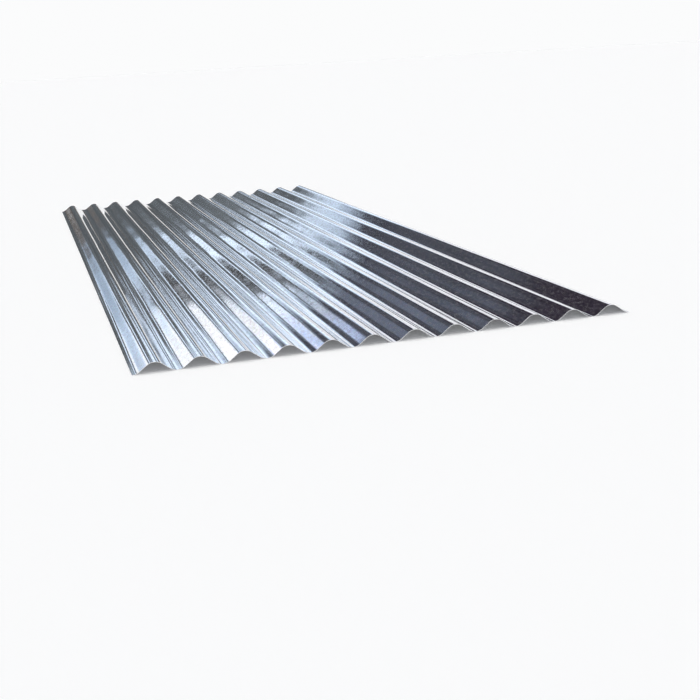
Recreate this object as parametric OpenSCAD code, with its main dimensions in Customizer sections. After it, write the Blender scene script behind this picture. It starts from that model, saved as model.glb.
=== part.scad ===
// Corrugated galvanised steel sheet, roll-formed in one piece.
//
// The sheet lies flat on the undersides of its troughs. X runs across the
// corrugations, Y along them, and Z up. The origin is under the middle of the
// sheet. Every corrugation is a round crest and a round trough of one radius,
// joined by a straight flank that is tangent to both. Both long edges are
// turned down and end at the bottom of a half trough.

/* [Sheet] */
// Length along the corrugations, from cut end to cut end
sheet_length = 2400; // [600:50:6000]
// Thickness of the zinc-coated steel
sheet_thickness = 0.8; // [0.3:0.1:1.6]

/* [Corrugation] */
// Number of whole corrugations across the sheet
corrugations = 12; // [3:1:18]
// Distance from one crest to the next
pitch = 76; // [60:1:120]
// Rise from the bottom of a trough to the top of a crest, on one face
depth = 18; // [10:1:24]
// Straight length of a flank, between the two bends that it joins
flank_length = 16; // [4:1:24]

/* [Hidden] */
$fn = 96;

// Slope of the flank that is tangent to both bends, and the radius that the
// bends then have at the middle of the thickness
flank_angle = 2 * atan2(depth, pitch / 2 + flank_length);
bend_radius = (pitch / 2 - flank_length * cos(flank_angle)) / (2 * sin(flank_angle));

// Heights of the bends' centres and of the middle of a flank
trough_centre_z = sheet_thickness / 2 + bend_radius;
crest_centre_z = sheet_thickness / 2 + depth - bend_radius;
flank_centre_z = sheet_thickness / 2 + depth / 2;

// Places of the crests across the sheet
first_crest_x = -(corrugations - 1) / 2 * pitch;
crest_places = [for (i = [0 : corrugations - 1]) first_crest_x + i * pitch];

// Quarter of a wave's sheet metal, bent over its centre from straight up to the
// flank's slope, towards +X
module half_bend() {
    reach = 2 * bend_radius;
    intersection() {
        difference() {
            circle(bend_radius + sheet_thickness / 2);
            circle(bend_radius - sheet_thickness / 2);
        }
        polygon([[0, 0], [0, reach], reach * [tan(flank_angle), 1]]);
    }
}

// Half of the crest at X = 0, towards +X
module half_crest() {
    translate([0, crest_centre_z]) half_bend();
}

// Straight flank that falls from the crest, towards +X
module flank() {
    translate([pitch / 4, flank_centre_z])
        rotate(-flank_angle)
            square([flank_length, sheet_thickness], center = true);
}

// Half of the trough that follows the flank, down to its bottom
module half_trough() {
    translate([pitch / 2, trough_centre_z]) rotate(180) half_bend();
}

// One corrugation, from trough bottom to trough bottom
module corrugation() {
    for (side = [0, 1]) mirror([side, 0]) {
        half_crest();
        flank();
        half_trough();
    }
}

// Section across the whole sheet
module section() {
    for (x = crest_places) translate([x, 0]) corrugation();
}

// The sheet, its section drawn out along Y
module corrugated_sheet() {
    color("silver")
        rotate([90, 0, 0])
            linear_extrude(sheet_length, center = true) section();
}

corrugated_sheet();
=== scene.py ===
"""Galvanised corrugated sheet: its rolled mesh, its zinc finish and a plain studio around it."""
import math
from typing import NamedTuple

import bpy
from bpy.props import FloatProperty, FloatVectorProperty, IntProperty, PointerProperty
from mathutils import Matrix, Vector


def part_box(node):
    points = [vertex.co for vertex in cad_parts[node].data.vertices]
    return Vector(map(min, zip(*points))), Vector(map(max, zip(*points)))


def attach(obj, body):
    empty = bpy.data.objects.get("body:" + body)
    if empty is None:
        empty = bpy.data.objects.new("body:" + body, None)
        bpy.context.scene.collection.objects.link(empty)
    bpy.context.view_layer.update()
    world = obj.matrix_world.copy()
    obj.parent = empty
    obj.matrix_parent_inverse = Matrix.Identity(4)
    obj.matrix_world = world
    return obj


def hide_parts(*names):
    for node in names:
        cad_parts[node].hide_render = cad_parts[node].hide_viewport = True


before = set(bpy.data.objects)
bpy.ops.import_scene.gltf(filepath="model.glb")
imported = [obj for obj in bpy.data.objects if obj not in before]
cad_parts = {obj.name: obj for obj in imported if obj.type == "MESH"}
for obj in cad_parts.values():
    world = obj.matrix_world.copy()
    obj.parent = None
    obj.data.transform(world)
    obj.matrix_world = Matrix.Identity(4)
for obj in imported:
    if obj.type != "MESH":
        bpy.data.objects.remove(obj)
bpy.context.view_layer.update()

bl_info = {
    "name": "Corrugated Sheet",
    "version": (1, 0, 0),
    "blender": (4, 5, 0),
    "location": "3D View > Sidebar > Sheet",
    "description": "Makes a galvanised corrugated sheet and the studio that it lies in",
    "category": "Object",
}

SHEET_NODE = "corrugated_sheet"
BODY = "root"
LOW, HIGH = (Vector(corner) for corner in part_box(SHEET_NODE))
MM = 0.001
WHITE = (1.0, 1.0, 1.0, 1.0)

# What the sheet's mesh keeps: where a corner lies on the flat blank, in metres, and whether a face is cut
DEVELOPED = "developed"
RIM = "rim"

# Points nearer than this are merged, and edges sharper than this stay sharp
MERGE_DISTANCE = 0.02 * MM
CREASE_ANGLE = math.radians(45)

# Unevenness of the rolled sheet: how often it comes and goes in a metre, across and along
SWAY_WAVES = (13.0, 2.6)
SWELL_WAVES = (9.0, 4.5)
SWELL_SEED_STEP = 7.0

# Patterns of the finish, as their waves in a metre or their stretch on each axis
BLOT_STRETCH = (1.0, 0.3, 1.0)
PATCH_WAVES = 5.0
STREAK_WAVES = (600.0, 3.0, 1.0)
SCORE_WAVES = (2500.0, 2500.0, 300.0)
MID_COLOUR = (0.5, 0.5, 0.5)


class SheetSizes(bpy.types.PropertyGroup):
    """Sizes of the sheet and of the mesh that follows them."""
    length: FloatProperty(
        name="Length", description="From cut end to cut end, along the corrugations",
        default=HIGH.y - LOW.y, min=0.1, unit="LENGTH")
    width: FloatProperty(
        name="Width", description="From edge to edge, across the corrugations",
        default=HIGH.x - LOW.x, min=0.1, unit="LENGTH")
    height: FloatProperty(
        name="Height", description="From the floor to the tops of the crests",
        default=HIGH.z - LOW.z, min=0.005, unit="LENGTH")
    corrugations: IntProperty(
        name="Corrugations", description="Whole waves across the sheet", default=12, min=1)
    flank_length: FloatProperty(
        name="Flank Length", description="Straight length between two bends",
        default=16 * MM, min=1 * MM, unit="LENGTH")
    thickness: FloatProperty(
        name="Thickness", description="Thickness of the coated steel",
        default=0.8 * MM, min=0.1 * MM, unit="LENGTH")
    steps: IntProperty(
        name="Steps", description="Faces from the bottom of a trough to the top of a crest",
        default=18, min=6)
    rows: IntProperty(name="Rows", description="Faces along the sheet", default=96, min=4)
    sway: FloatProperty(
        name="Sway", description="How far the rolled lines wander sideways",
        default=0.5 * MM, min=0, unit="LENGTH")
    swell: FloatProperty(
        name="Swell", description="How far the flanks bulge and sink",
        default=0.25 * MM, min=0, unit="LENGTH")
    seed: FloatProperty(name="Seed", description="Picks another pattern of sway and swell", default=3.0)


class ZincFinish(bpy.types.PropertyGroup):
    """Colours and grain of the zinc coating."""
    bright: FloatVectorProperty(
        name="Bright Grain", description="Colour of the brightest zinc crystals",
        subtype="COLOR", size=4, default=(0.80, 0.81, 0.83, 1), min=0, max=1)
    dull: FloatVectorProperty(
        name="Dull Grain", description="Colour of the dullest zinc crystals",
        subtype="COLOR", size=4, default=(0.50, 0.52, 0.55, 1), min=0, max=1)
    cut_steel: FloatVectorProperty(
        name="Cut Steel", description="Colour of the sheared edges",
        subtype="COLOR", size=4, default=(0.95, 0.95, 0.95, 1), min=0, max=1)
    grain_size: FloatProperty(
        name="Grain Size", description="Usual width of a zinc crystal",
        default=4.0 * MM, min=0.5 * MM, unit="LENGTH")
    grain_tilt: FloatProperty(
        name="Grain Tilt", description="How far a crystal leans from the sheet's own face",
        default=math.radians(0.16), min=0, subtype="ANGLE")


class StudioSetup(bpy.types.PropertyGroup):
    """Camera, floor and light."""
    camera_place: FloatVectorProperty(
        name="Camera Place", description="Where the camera stands",
        subtype="TRANSLATION", unit="LENGTH", default=(-0.5986, -3.0779, 0.4948))
    camera_aim: FloatVectorProperty(
        name="Camera Aim", description="Point of the floor in the middle of the picture",
        subtype="TRANSLATION", unit="LENGTH", default=(-0.0863, -1.2145, 0))
    camera_roll: FloatProperty(
        name="Camera Roll", description="Turn of the camera about its own line of sight",
        default=math.radians(3.41), subtype="ANGLE")
    lens: FloatProperty(
        name="Lens", description="Focal length of the camera", default=59.86, min=10, unit="CAMERA")
    floor_radius: FloatProperty(
        name="Floor Radius", description="Reach of the floor", default=60, min=5, unit="LENGTH")
    floor_colour: FloatVectorProperty(
        name="Floor Colour", description="Colour of the pale floor",
        subtype="COLOR", size=4, default=(0.96, 0.96, 0.96, 1), min=0, max=1)
    horizon: FloatVectorProperty(
        name="Horizon Colour", description="Colour behind the far edge of the floor",
        subtype="COLOR", size=4, default=(0.966, 0.970, 0.974, 1), min=0, max=1)
    overhead: FloatProperty(
        name="Overhead Light", description="Strength of the lamps on both sides of the sheet",
        default=2.34, min=0)
    ceiling: FloatProperty(
        name="Ceiling Light", description="Strength of the light between the lamps", default=0.47, min=0)
    floor_glow: FloatProperty(
        name="Floor Glow", description="What the floor adds to the light that it sends back",
        default=0.08, min=0)


class Number:
    """A number that comes out of a node. Sums and products with it add Math nodes to the same tree."""

    def __init__(self, socket):
        self.socket = socket

    def __add__(self, other):
        return maths("ADD", self, other)

    def __radd__(self, other):
        return maths("ADD", other, self)

    def __sub__(self, other):
        return maths("SUBTRACT", self, other)

    def __rsub__(self, other):
        return maths("SUBTRACT", other, self)

    def __mul__(self, other):
        return maths("MULTIPLY", self, other)

    def __rmul__(self, other):
        return maths("MULTIPLY", other, self)

    def __truediv__(self, other):
        return maths("DIVIDE", self, other)

    def __neg__(self):
        return maths("MULTIPLY", self, -1.0)


def fill_inputs(node, inputs):
    """Link each named input of a node to a socket or a Number, or give it a plain value."""
    for key, value in dict(inputs).items():
        source = value.socket if isinstance(value, Number) else value
        if isinstance(source, bpy.types.NodeSocket):
            node.id_data.links.new(source, node.inputs[key])
        else:
            node.inputs[key].default_value = source


def add_node(tree, kind, inputs=(), **settings):
    """A new node with its settings and its inputs."""
    node = tree.nodes.new(kind)
    for name, value in settings.items():
        setattr(node, name, value)
    fill_inputs(node, inputs)
    return node


def maths(operation, *values):
    """The result of a Math node on some values, of which at least one is a Number."""
    tree = next(value.socket.id_data for value in values if isinstance(value, Number))
    return Number(add_node(tree, "ShaderNodeMath", enumerate(values), operation=operation).outputs[0])


def eased(value, low, high):
    """0 up to low, 1 from high on, and a smooth rise between them. With low over high it falls instead."""
    bounds = {"Value": value, "From Min": low, "From Max": high}
    tree = value.socket.id_data
    return Number(add_node(tree, "ShaderNodeMapRange", bounds, interpolation_type="SMOOTHSTEP").outputs[0])


def ranged(value, low, high, new_low, new_high):
    """A Number taken from one range to another."""
    bounds = {"Value": value, "From Min": low, "From Max": high, "To Min": new_low, "To Max": new_high}
    return Number(add_node(value.socket.id_data, "ShaderNodeMapRange", bounds).outputs[0])


def vector_maths(tree, operation, *values):
    """The result of a Vector Math node that gives a vector."""
    return add_node(tree, "ShaderNodeVectorMath", enumerate(values), operation=operation).outputs[0]


def scaled(tree, vector, factor):
    """A vector times a number."""
    return add_node(tree, "ShaderNodeVectorMath", {0: vector, "Scale": factor}, operation="SCALE").outputs[0]


def joined_vector(tree, x, y, z):
    """A vector from three numbers."""
    return add_node(tree, "ShaderNodeCombineXYZ", enumerate((x, y, z))).outputs[0]


def split_vector(tree, vector):
    """The three Numbers of a vector."""
    return [Number(part) for part in add_node(tree, "ShaderNodeSeparateXYZ", {0: vector}).outputs]


def mixed_colour(tree, factor, first, second, blend="MIX"):
    """Two colours, mixed."""
    colours = {0: factor, 6: first, 7: second}
    return add_node(tree, "ShaderNodeMix", colours, data_type="RGBA", blend_type=blend).outputs[2]


def noise(tree, place, scale=1.0, detail=2.0, roughness=0.5):
    """Soft noise around the middle of its range, as a Number and as a colour."""
    sizes = {"Vector": place, "Scale": scale, "Detail": detail, "Roughness": roughness}
    value, colour = add_node(tree, "ShaderNodeTexNoise", sizes).outputs
    return Number(value), colour


def group_inputs(tree, kinds):
    """Give a node group its inputs, from their names and kinds, and return the sockets that bring them in."""
    for name, kind in kinds.items():
        tree.interface.new_socket(name, in_out="INPUT", socket_type=kind)
    arrived = tree.nodes.new("NodeGroupInput").outputs
    return [arrived[name] for name in kinds]


POINT_INPUTS = dict.fromkeys((
    "Run", "Along", "Offset", "Width", "Pitch", "Depth", "Angle", "Radius", "Flank", "Thickness",
    "Sway", "Swell", "Seed"), "NodeSocketFloat")


def section_tree():
    """Node group: the place of a point of the sheet, from its run across the flat blank, its place along the
    sheet and its offset from the middle of the thickness."""
    tree = bpy.data.node_groups.new("Sheet Point", "GeometryNodeTree")
    (run, along, offset, width, pitch, depth, angle, radius, flank, thickness,
     most_sway, most_swell, seed) = map(Number, group_inputs(tree, POINT_INPUTS))
    tree.interface.new_socket("Position", in_out="OUTPUT", socket_type="NodeSocketVector")
    bend = radius * angle
    half_wave = 2.0 * bend + flank

    # Run from the nearest trough, 0 at its bottom and half_wave at the top of the crest
    climb = maths("PINGPONG", run, half_wave)
    low_turn = maths("MINIMUM", climb, bend) / radius
    high_turn = maths("MINIMUM", half_wave - climb, bend) / radius
    on_flank = maths("MINIMUM", maths("MAXIMUM", climb - bend, 0.0), flank)

    # Distances gone from the bottom of the trough: over the lower bend, the flank and the upper bend
    flank_sine = maths("SINE", angle)
    flank_cosine = maths("COSINE", angle)
    across = (radius * maths("SINE", low_turn)
              + on_flank * flank_cosine
              + radius * (flank_sine - maths("SINE", high_turn)))
    climbed = (radius * (1.0 - maths("COSINE", low_turn))
               + on_flank * flank_sine
               + radius * (maths("COSINE", high_turn) - flank_cosine))

    # Every wave rises over its first half and falls over its second
    waves = run / (2.0 * half_wave)
    whole_waves = maths("FLOOR", waves)
    falling = maths("GREATER_THAN", waves - whole_waves, 0.5)
    in_wave = Number(add_node(tree, "ShaderNodeMix", {0: falling, 2: across, 3: pitch - across}).outputs[0])
    from_edge = whole_waves * pitch + in_wave
    side = 2.0 * falling - 1.0

    # The faces of a real sheet aren't quite true: rolled lines sway, and flanks swell between the bends
    def unevenness(waves_across, waves_along, seed_step):
        place = joined_vector(tree, run * waves_across, along * waves_along, seed + seed_step)
        value, _ = noise(tree, place)
        return ranged(value, 0.25, 0.75, -1.0, 1.0)

    inset = maths("MINIMUM", from_edge, width - from_edge)
    sway = unevenness(*SWAY_WAVES, 0.0) * most_sway * eased(inset, 0.0, pitch)
    level = climbed / depth
    between_bends = 4.0 * level * (1.0 - level)
    swell = unevenness(*SWELL_WAVES, SWELL_SEED_STEP) * most_swell * between_bends

    middle = joined_vector(tree, from_edge - width / 2.0 + sway, along, climbed + thickness / 2.0 + swell)
    turn = maths("MINIMUM", low_turn, high_turn)
    normal = joined_vector(tree, maths("SINE", turn) * side, 0.0, maths("COSINE", turn))
    place = vector_maths(tree, "ADD", middle, scaled(tree, normal, offset))
    add_node(tree, "NodeGroupOutput", {"Position": place})
    return tree


SHEET_INPUTS = {
    "Length": "NodeSocketFloat",
    "Width": "NodeSocketFloat",
    "Height": "NodeSocketFloat",
    "Corrugations": "NodeSocketInt",
    "Flank Length": "NodeSocketFloat",
    "Thickness": "NodeSocketFloat",
    "Steps": "NodeSocketInt",
    "Rows": "NodeSocketInt",
    "Sway": "NodeSocketFloat",
    "Swell": "NodeSocketFloat",
    "Seed": "NodeSocketFloat",
    "Face Material": "NodeSocketMaterial",
    "Edge Material": "NodeSocketMaterial",
}


def sheet_tree():
    """Node group: the whole sheet, as two faces and four rims merged into one closed mesh."""
    tree = bpy.data.node_groups.new("Corrugated Sheet", "GeometryNodeTree")
    tree.is_modifier = True
    *sizes, face_material, edge_material = group_inputs(tree, SHEET_INPUTS)
    (length, width, height, corrugations, flank, thickness,
     steps, rows, sway, swell, seed) = map(Number, sizes)
    tree.interface.new_socket("Geometry", in_out="OUTPUT", socket_type="NodeSocketGeometry")

    # The slope of the flank that is tangent to both bends, and the radius that the bends then have
    depth = height - thickness
    pitch = width / corrugations
    half_pitch = pitch / 2.0
    angle = 2.0 * maths("ARCTAN2", depth, half_pitch + flank)
    radius = (half_pitch - flank * maths("COSINE", angle)) / (2.0 * maths("SINE", angle))
    half_wave = 2.0 * radius * angle + flank
    half_waves = 2.0 * corrugations
    blank_width = half_wave * half_waves
    half_length = length / 2.0
    half_thickness = thickness / 2.0

    grid_x, grid_y, _ = split_vector(tree, tree.nodes.new("GeometryNodeInputPosition").outputs[0])
    run = grid_x + blank_width / 2.0
    section = section_tree()

    def surface(grid_size, run_at, along_at, offset_at, on_rim, turned):
        """A grid of points, with its place on the blank and its kind kept, set in its place on the sheet."""
        size_names = ("Size X", "Size Y", "Vertices X", "Vertices Y")
        grid = add_node(tree, "GeometryNodeMeshGrid", zip(size_names, grid_size)).outputs[0]
        on_blank = {"Geometry": grid, "Name": DEVELOPED, "Value": joined_vector(tree, run_at, along_at, 0.0)}
        marked = add_node(tree, "GeometryNodeStoreNamedAttribute", on_blank,
                          data_type="FLOAT2", domain="CORNER").outputs[0]
        kind = {"Geometry": marked, "Name": RIM, "Value": on_rim}
        known = add_node(tree, "GeometryNodeStoreNamedAttribute", kind,
                         data_type="BOOLEAN", domain="FACE").outputs[0]
        values = (run_at, along_at, offset_at, width, pitch, depth, angle, radius, flank, thickness,
                  sway, swell, seed)
        point = add_node(tree, "GeometryNodeGroup", node_tree=section)
        fill_inputs(point, zip(POINT_INPUTS, values))
        target = {"Geometry": known, "Position": point.outputs[0]}
        placed = add_node(tree, "GeometryNodeSetPosition", target).outputs[0]
        if turned:
            placed = add_node(tree, "GeometryNodeFlipFaces", {0: placed}).outputs[0]
        return placed

    run_points = half_waves * steps + 1.0
    row_points = rows + 1.0
    face_grid = (blank_width, length, run_points, row_points)
    end_grid = (blank_width, thickness, run_points, 2)
    edge_grid = (thickness, length, 2, row_points)
    parts = [
        surface(face_grid, run, grid_y, half_thickness, on_rim=False, turned=False),
        surface(face_grid, run, grid_y, -half_thickness, on_rim=False, turned=True),
        surface(end_grid, run, -half_length, grid_y, on_rim=True, turned=False),
        surface(end_grid, run, half_length, grid_y, on_rim=True, turned=True),
        surface(edge_grid, 0.0, grid_y, grid_x, on_rim=True, turned=False),
        surface(edge_grid, blank_width, grid_y, grid_x, on_rim=True, turned=True),
    ]
    whole = tree.nodes.new("GeometryNodeJoinGeometry")
    for part in reversed(parts):
        tree.links.new(part, whole.inputs[0])
    merged = add_node(tree, "GeometryNodeMergeByDistance",
                      {"Geometry": whole.outputs[0], "Distance": MERGE_DISTANCE}).outputs[0]

    # Smooth all over, apart from the edges of the cut faces
    smooth = add_node(tree, "GeometryNodeSetShadeSmooth", {"Geometry": merged}, domain="FACE").outputs[0]
    corner = Number(tree.nodes.new("GeometryNodeInputMeshEdgeAngle").outputs[0])
    sharp = maths("GREATER_THAN", corner, CREASE_ANGLE)
    creases = {"Geometry": smooth, "Selection": sharp, "Shade Smooth": False}
    creased = add_node(tree, "GeometryNodeSetShadeSmooth", creases, domain="EDGE").outputs[0]
    real = add_node(tree, "GeometryNodeRealizeInstances", {0: creased}).outputs[0]
    coated = add_node(tree, "GeometryNodeSetMaterial",
                      {"Geometry": real, "Material": face_material}).outputs[0]
    rims = add_node(tree, "GeometryNodeInputNamedAttribute", {"Name": RIM}, data_type="BOOLEAN").outputs[0]
    finished = add_node(tree, "GeometryNodeSetMaterial",
                        {"Geometry": coated, "Selection": rims, "Material": edge_material}).outputs[0]
    add_node(tree, "NodeGroupOutput", {"Geometry": finished})
    return tree


def set_inputs(modifier, values):
    """Give a Geometry Nodes modifier its inputs, by the names that its tree shows."""
    sockets = {item.name: item.identifier for item in modifier.node_group.interface.items_tree
               if item.item_type == "SOCKET" and item.in_out == "INPUT"}
    for name, value in values.items():
        modifier[sockets[name]] = value


def plain_mesh(name, tree, values):
    """The mesh that a Geometry Nodes tree makes, as an object with no modifier."""
    piece = bpy.data.objects.new(name, bpy.data.meshes.new(name))
    bpy.context.collection.objects.link(piece)
    modifier = piece.modifiers.new(tree.name, "NODES")
    modifier.node_group = tree
    set_inputs(modifier, values)
    graph = bpy.context.evaluated_depsgraph_get()
    made = piece.evaluated_get(graph)
    mesh = bpy.data.meshes.new_from_object(made, preserve_all_data_layers=True, depsgraph=graph)
    if not mesh.polygons:
        raise RuntimeError(f"{tree.name} made no faces")
    mesh.name = name
    piece.modifiers.remove(modifier)
    piece.data = mesh
    return piece


def new_material(name):
    """A material with a Principled shader, as (material, its tree, the shader)."""
    material = bpy.data.materials.new(name)
    material.use_nodes = True
    tree = material.node_tree
    return material, tree, tree.nodes["Principled BSDF"]


def zinc_material(finish, height):
    """Bright hot-dip zinc: a mosaic of crystals that lean and shine a little differently, drawn along by the
    rolls."""
    material, tree, shader = new_material("galvanised_zinc")
    blank = add_node(tree, "ShaderNodeUVMap", uv_map=DEVELOPED).outputs[0]

    # Crystals with wavering borders, each with random draws of its own
    _, ripple = noise(tree, blank, 0.6 / finish.grain_size)
    ripple_shift = scaled(tree, vector_maths(tree, "SUBTRACT", ripple, MID_COLOUR), 0.8 * finish.grain_size)
    grain_place = vector_maths(tree, "ADD", blank, ripple_shift)
    grain = add_node(tree, "ShaderNodeTexVoronoi", {"Vector": grain_place, "Scale": 1 / finish.grain_size},
                     voronoi_dimensions="2D").outputs["Color"]
    draws = add_node(tree, "ShaderNodeSeparateColor", {0: grain}).outputs
    shade_draw, gloss_draw, film_draw = map(Number, draws)

    # Soft mottling a few crystals wide, large patches where the coating is duller, and fine streaks
    long_blots = vector_maths(tree, "MULTIPLY", blank, BLOT_STRETCH)
    mottle, mottle_tint = noise(tree, long_blots, 0.7 / finish.grain_size, detail=3.0, roughness=0.65)
    mottled = eased(mottle, 0.45, 0.70)
    patch, _ = noise(tree, blank, PATCH_WAVES, detail=4.0, roughness=0.6)
    dulled = eased(patch, 0.45, 0.75)
    streak, _ = noise(tree, vector_maths(tree, "MULTIPLY", blank, STREAK_WAVES), detail=3.0)
    streaks = ranged(streak, 0.3, 0.7, -1.0, 1.0)

    shade = 0.40 * shade_draw + 0.42 * mottled + 0.15 * dulled
    grey = mixed_colour(tree, shade, tuple(finish.bright), tuple(finish.dull))
    tinted = mixed_colour(tree, 0.5, grey, mottle_tint, blend="SOFT_LIGHT")
    roughness = 0.03 + 0.04 * gloss_draw + 0.03 * mottled + 0.03 * dulled + 0.012 * streaks

    # A thin oxide film, which scatters light and shows where the zinc mirrors something dark
    film = 0.02 * film_draw + 0.10 * mottled + 0.01 * dulled

    # The rolls have burnished the crests and troughs, so crystals lean only on the flanks
    place = add_node(tree, "ShaderNodeTexCoord").outputs["Object"]
    _, _, level = split_vector(tree, place)
    from_middle = maths("ABSOLUTE", level - 0.5 * height)
    on_flank = eased(from_middle, 0.42 * height, 0.3 * height)
    lean = scaled(tree, vector_maths(tree, "SUBTRACT", grain, MID_COLOUR),
                  on_flank * (2 * math.tan(finish.grain_tilt)))
    face = tree.nodes.new("ShaderNodeNewGeometry").outputs["Normal"]
    leaning = vector_maths(tree, "NORMALIZE", vector_maths(tree, "ADD", face, lean))
    fill_inputs(shader, {
        "Base Color": tinted, "Roughness": roughness, "Metallic": 1.0 - film, "Normal": leaning})
    return material


def cut_material(finish):
    """Sheared steel on the cut ends and edges: bright, with the fine upright scores of the blade."""
    material, tree, shader = new_material("sheared_steel")
    place = add_node(tree, "ShaderNodeTexCoord").outputs["Object"]
    scores, _ = noise(tree, vector_maths(tree, "MULTIPLY", place, SCORE_WAVES))
    worn = mixed_colour(tree, 0.35 * scores, tuple(finish.cut_steel), tuple(finish.dull))
    fill_inputs(shader, {
        "Base Color": worn, "Roughness": ranged(scores, 0.3, 0.7, 0.32, 0.5), "Metallic": 1.0})
    return material


class SHEET_OT_make(bpy.types.Operator):
    """Make the corrugated sheet with its zinc finish"""
    bl_idname = "sheet.make"
    bl_label = "Corrugated Sheet"

    def execute(self, context):
        sizes = context.scene.sheet_sizes
        finish = context.scene.zinc_finish
        piece = plain_mesh("galvanised_sheet", sheet_tree(), {
            "Length": sizes.length,
            "Width": sizes.width,
            "Height": sizes.height,
            "Corrugations": sizes.corrugations,
            "Flank Length": sizes.flank_length,
            "Thickness": sizes.thickness,
            "Steps": sizes.steps,
            "Rows": sizes.rows,
            "Sway": sizes.sway,
            "Swell": sizes.swell,
            "Seed": sizes.seed,
            "Face Material": zinc_material(finish, sizes.height),
            "Edge Material": cut_material(finish),
        })
        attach(piece, BODY)
        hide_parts(SHEET_NODE)
        return {"FINISHED"}


class Card(NamedTuple):
    """A soft-edged patch of the studio's walls. Its bounds and its soft edge are in degrees: heights above
    the horizon, and turns to the right of the sheet's length. Its sides move to the right by lean for each
    degree of height, and its top rises by slope for each degree of turn."""
    colour: tuple
    heights: tuple
    turns: tuple
    soft: float
    lean: float = 0.0
    slope: float = 0.0


# Walls and cards that the zinc mirrors. Each is laid over those before it, and the set is used twice, in
# front and behind. The photo's view of the horizon ends below the foot of the walls.
CARD_TURNS = (-90.0, 90.0)
WALL_FOOT = 3.2
CARDS = {
    "dark upper wall": Card((0.034, 0.026, 0.040), (WALL_FOOT, 34.0), (-40.0, 50.0), 2.0),
    "dim wall": Card((0.43, 0.54, 0.69), (3.6, 18.5), (-40.0, 50.0), 2.0),
    "pale wall": Card((0.98, 1.14, 1.36), (6.5, 18.5), (-40.0, 50.0), 4.0),
    "grey wall on the left": Card((0.36, 0.38, 0.42), (WALL_FOOT, 24.0), (-95.0, -34.0), 6.0),
    "grey wall on the right": Card((0.36, 0.38, 0.42), (WALL_FOOT, 24.0), (46.0, 95.0), 6.0),
    "slate upper wall": Card((0.072, 0.076, 0.098), (17.0, 28.0), (-9.0, 11.0), 3.0),
    "blue upper card": Card((0.145, 0.165, 0.222), (15.0, 26.5), (-15.0, -4.6), 3.2),
    "white card on the left": Card((1.44, 1.45, 1.48), (8.8, 18.5), (-30.0, -8.2), 2.2, lean=0.1),
    "light blue card": Card((0.64, 0.76, 1.08), (14.2, 19.8), (-11.2, -7.8), 1.6),
    "white card on the right": Card((1.05, 1.05, 1.10), (WALL_FOOT, 19.0), (13.0, 42.0), 3.0),
    "low wall": Card((0.108, 0.121, 0.132), (WALL_FOOT, 11.4), (-8.0, 16.0), 0.9, lean=0.28, slope=-0.285),
    "high wall": Card((0.118, 0.131, 0.140), (10.3, 16.2), (-6.2, 2.2), 1.6, lean=0.4),
    "dark beam": Card((0.110, 0.118, 0.125), (9.6, 12.1), (0.0, 14.5), 0.6),
    "brown skirting": Card((0.120, 0.105, 0.095), (WALL_FOOT, 6.0), (-8.5, 12.0), 1.2),
    "dark post": Card((0.06, 0.06, 0.06), (7.8, 17.5), (-10.4, -7.2), 1.1, lean=0.33),
}

# Degrees of height at which the horizon's colour gives way to the dome, and at which the walls become uneven
DOME_FOOT = (16.0, 26.0)
STAIN_FOOT = (WALL_FOOT, WALL_FOOT + 2.0)

# How far to a side of straight up the ceiling gives way to the lamps, as the sine of the angle
LAMP_SIDES = (0.38, 0.70)


def studio_world(setup):
    """A cloudy dome of soft light, and cards round the horizon for the zinc to mirror."""
    world = bpy.data.worlds.new("studio")
    world.use_nodes = True
    tree = world.node_tree
    view = add_node(tree, "ShaderNodeTexCoord").outputs["Generated"]
    x, y, z = split_vector(tree, view)
    elevation = maths("DEGREES", maths("ARCSINE", z))
    turn = maths("WRAP", maths("DEGREES", maths("ARCTAN2", x, y)), *reversed(CARD_TURNS))

    to_lamps = eased(maths("ABSOLUTE", x), *LAMP_SIDES)
    lamps = mixed_colour(tree, to_lamps, (setup.ceiling,) * 3 + (1,), (setup.overhead,) * 3 + (1,))
    cloud, _ = noise(tree, view, 2.4, detail=1.0)
    dome = scaled(tree, lamps, ranged(cloud, 0.35, 0.65, 0.7, 1.3))
    light = mixed_colour(tree, eased(elevation, *DOME_FOOT), tuple(setup.horizon), dome)
    for card in CARDS.values():
        low, high = card.heights
        left, right = card.turns
        leaning = turn - (elevation - low) * card.lean
        across = eased(leaning, left, left + card.soft) * eased(leaning, right, right - card.soft)
        sloping = elevation - turn * card.slope
        upright = eased(elevation, low, low + card.soft) * eased(sloping, high, high - card.soft)
        light = mixed_colour(tree, across * upright, light, card.colour + (1,))

    # The walls are uneven, so that their mirror images are too
    stain, _ = noise(tree, view, 22.0, detail=3.0)
    stained = mixed_colour(tree, eased(elevation, *STAIN_FOOT), WHITE, ranged(stain, 0.3, 0.7, 0.7, 1.3))
    stained_light = mixed_colour(tree, 1.0, light, stained, blend="MULTIPLY")
    fill_inputs(tree.nodes["Background"], {"Color": stained_light})
    return world


def pale_floor(setup):
    """A large round floor at the height of the sheet's underside."""
    bpy.ops.mesh.primitive_circle_add(
        vertices=96, radius=setup.floor_radius, fill_type="NGON", location=(0, 0, 0))
    floor = bpy.context.object
    floor.name = "floor"
    material, tree, shader = new_material("pale_floor")
    path = tree.nodes.new("ShaderNodeLightPath").outputs
    mirrored = maths("MAXIMUM", Number(path["Is Glossy Ray"]), Number(path["Is Transmission Ray"]))
    seen = maths("MAXIMUM", Number(path["Is Camera Ray"]), mirrored)
    fill_inputs(shader, {
        "Base Color": setup.floor_colour, "Roughness": 0.9, "Specular IOR Level": 0.0,
        "Emission Color": WHITE, "Emission Strength": seen * setup.floor_glow})
    floor.data.materials.append(material)


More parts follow.
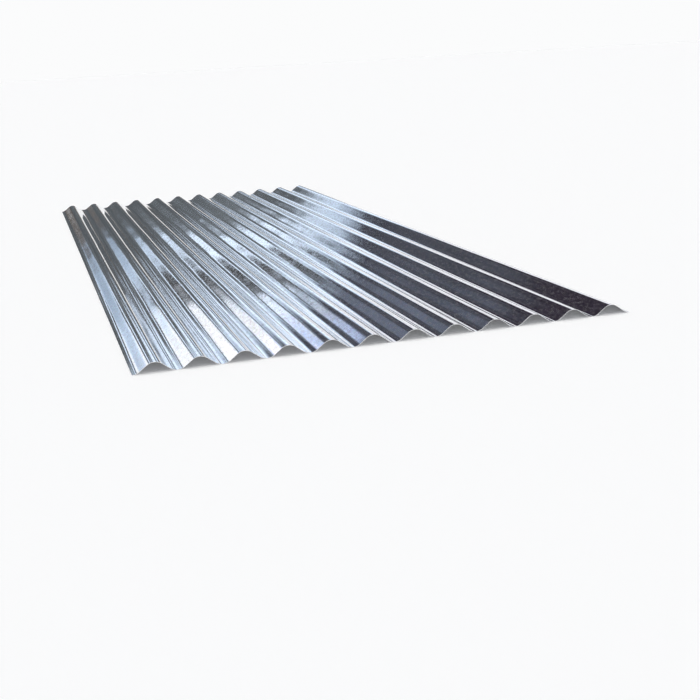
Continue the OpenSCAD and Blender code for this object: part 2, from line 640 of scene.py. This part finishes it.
def aimed_camera(setup):
    """The camera, aimed at a point of the floor and rolled about its line of sight."""
    place = Vector(setup.camera_place)
    sight = (Vector(setup.camera_aim) - place).normalized()
    camera = bpy.data.objects.new("camera", bpy.data.cameras.new("camera"))
    bpy.context.collection.objects.link(camera)
    camera.data.lens = setup.lens
    level = sight.to_track_quat("-Z", "Y").to_matrix().to_4x4()
    camera.matrix_world = Matrix.Translation(place) @ Matrix.Rotation(setup.camera_roll, 4, sight) @ level
    bpy.context.scene.camera = camera


class SHEET_OT_studio(bpy.types.Operator):
    """Set up the floor, the light and the camera"""
    bl_idname = "sheet.studio"
    bl_label = "Studio"

    def execute(self, context):
        setup = context.scene.studio_setup
        context.scene.world = studio_world(setup)
        pale_floor(setup)
        aimed_camera(setup)
        context.scene.view_settings.view_transform = "Standard"
        return {"FINISHED"}


class SHEET_PT_panel(bpy.types.Panel):
    """Sizes, finish and studio of the corrugated sheet"""
    bl_idname = "SHEET_PT_panel"
    bl_label = "Corrugated Sheet"
    bl_space_type = "VIEW_3D"
    bl_region_type = "UI"
    bl_category = "Sheet"

    def draw(self, context):
        scene = context.scene
        sections = (
            (scene.sheet_sizes, None),
            (scene.zinc_finish, SHEET_OT_make),
            (scene.studio_setup, SHEET_OT_studio),
        )
        for group, operator in sections:
            column = self.layout.column()
            for name in group.__annotations__:
                column.prop(group, name)
            if operator:
                column.operator(operator.bl_idname)


CLASSES = (SheetSizes, ZincFinish, StudioSetup, SHEET_OT_make, SHEET_OT_studio, SHEET_PT_panel)


def register():
    """Add the classes and the settings that a scene keeps."""
    for each in CLASSES:
        bpy.utils.register_class(each)
    bpy.types.Scene.sheet_sizes = PointerProperty(type=SheetSizes)
    bpy.types.Scene.zinc_finish = PointerProperty(type=ZincFinish)
    bpy.types.Scene.studio_setup = PointerProperty(type=StudioSetup)


def unregister():
    """Take the settings and the classes away again."""
    del bpy.types.Scene.studio_setup
    del bpy.types.Scene.zinc_finish
    del bpy.types.Scene.sheet_sizes
    for each in reversed(CLASSES):
        bpy.utils.unregister_class(each)


def main():
    """Make everything in order."""
    register()
    bpy.ops.sheet.make()
    bpy.ops.sheet.studio()


if __name__ == "__main__":
    main()
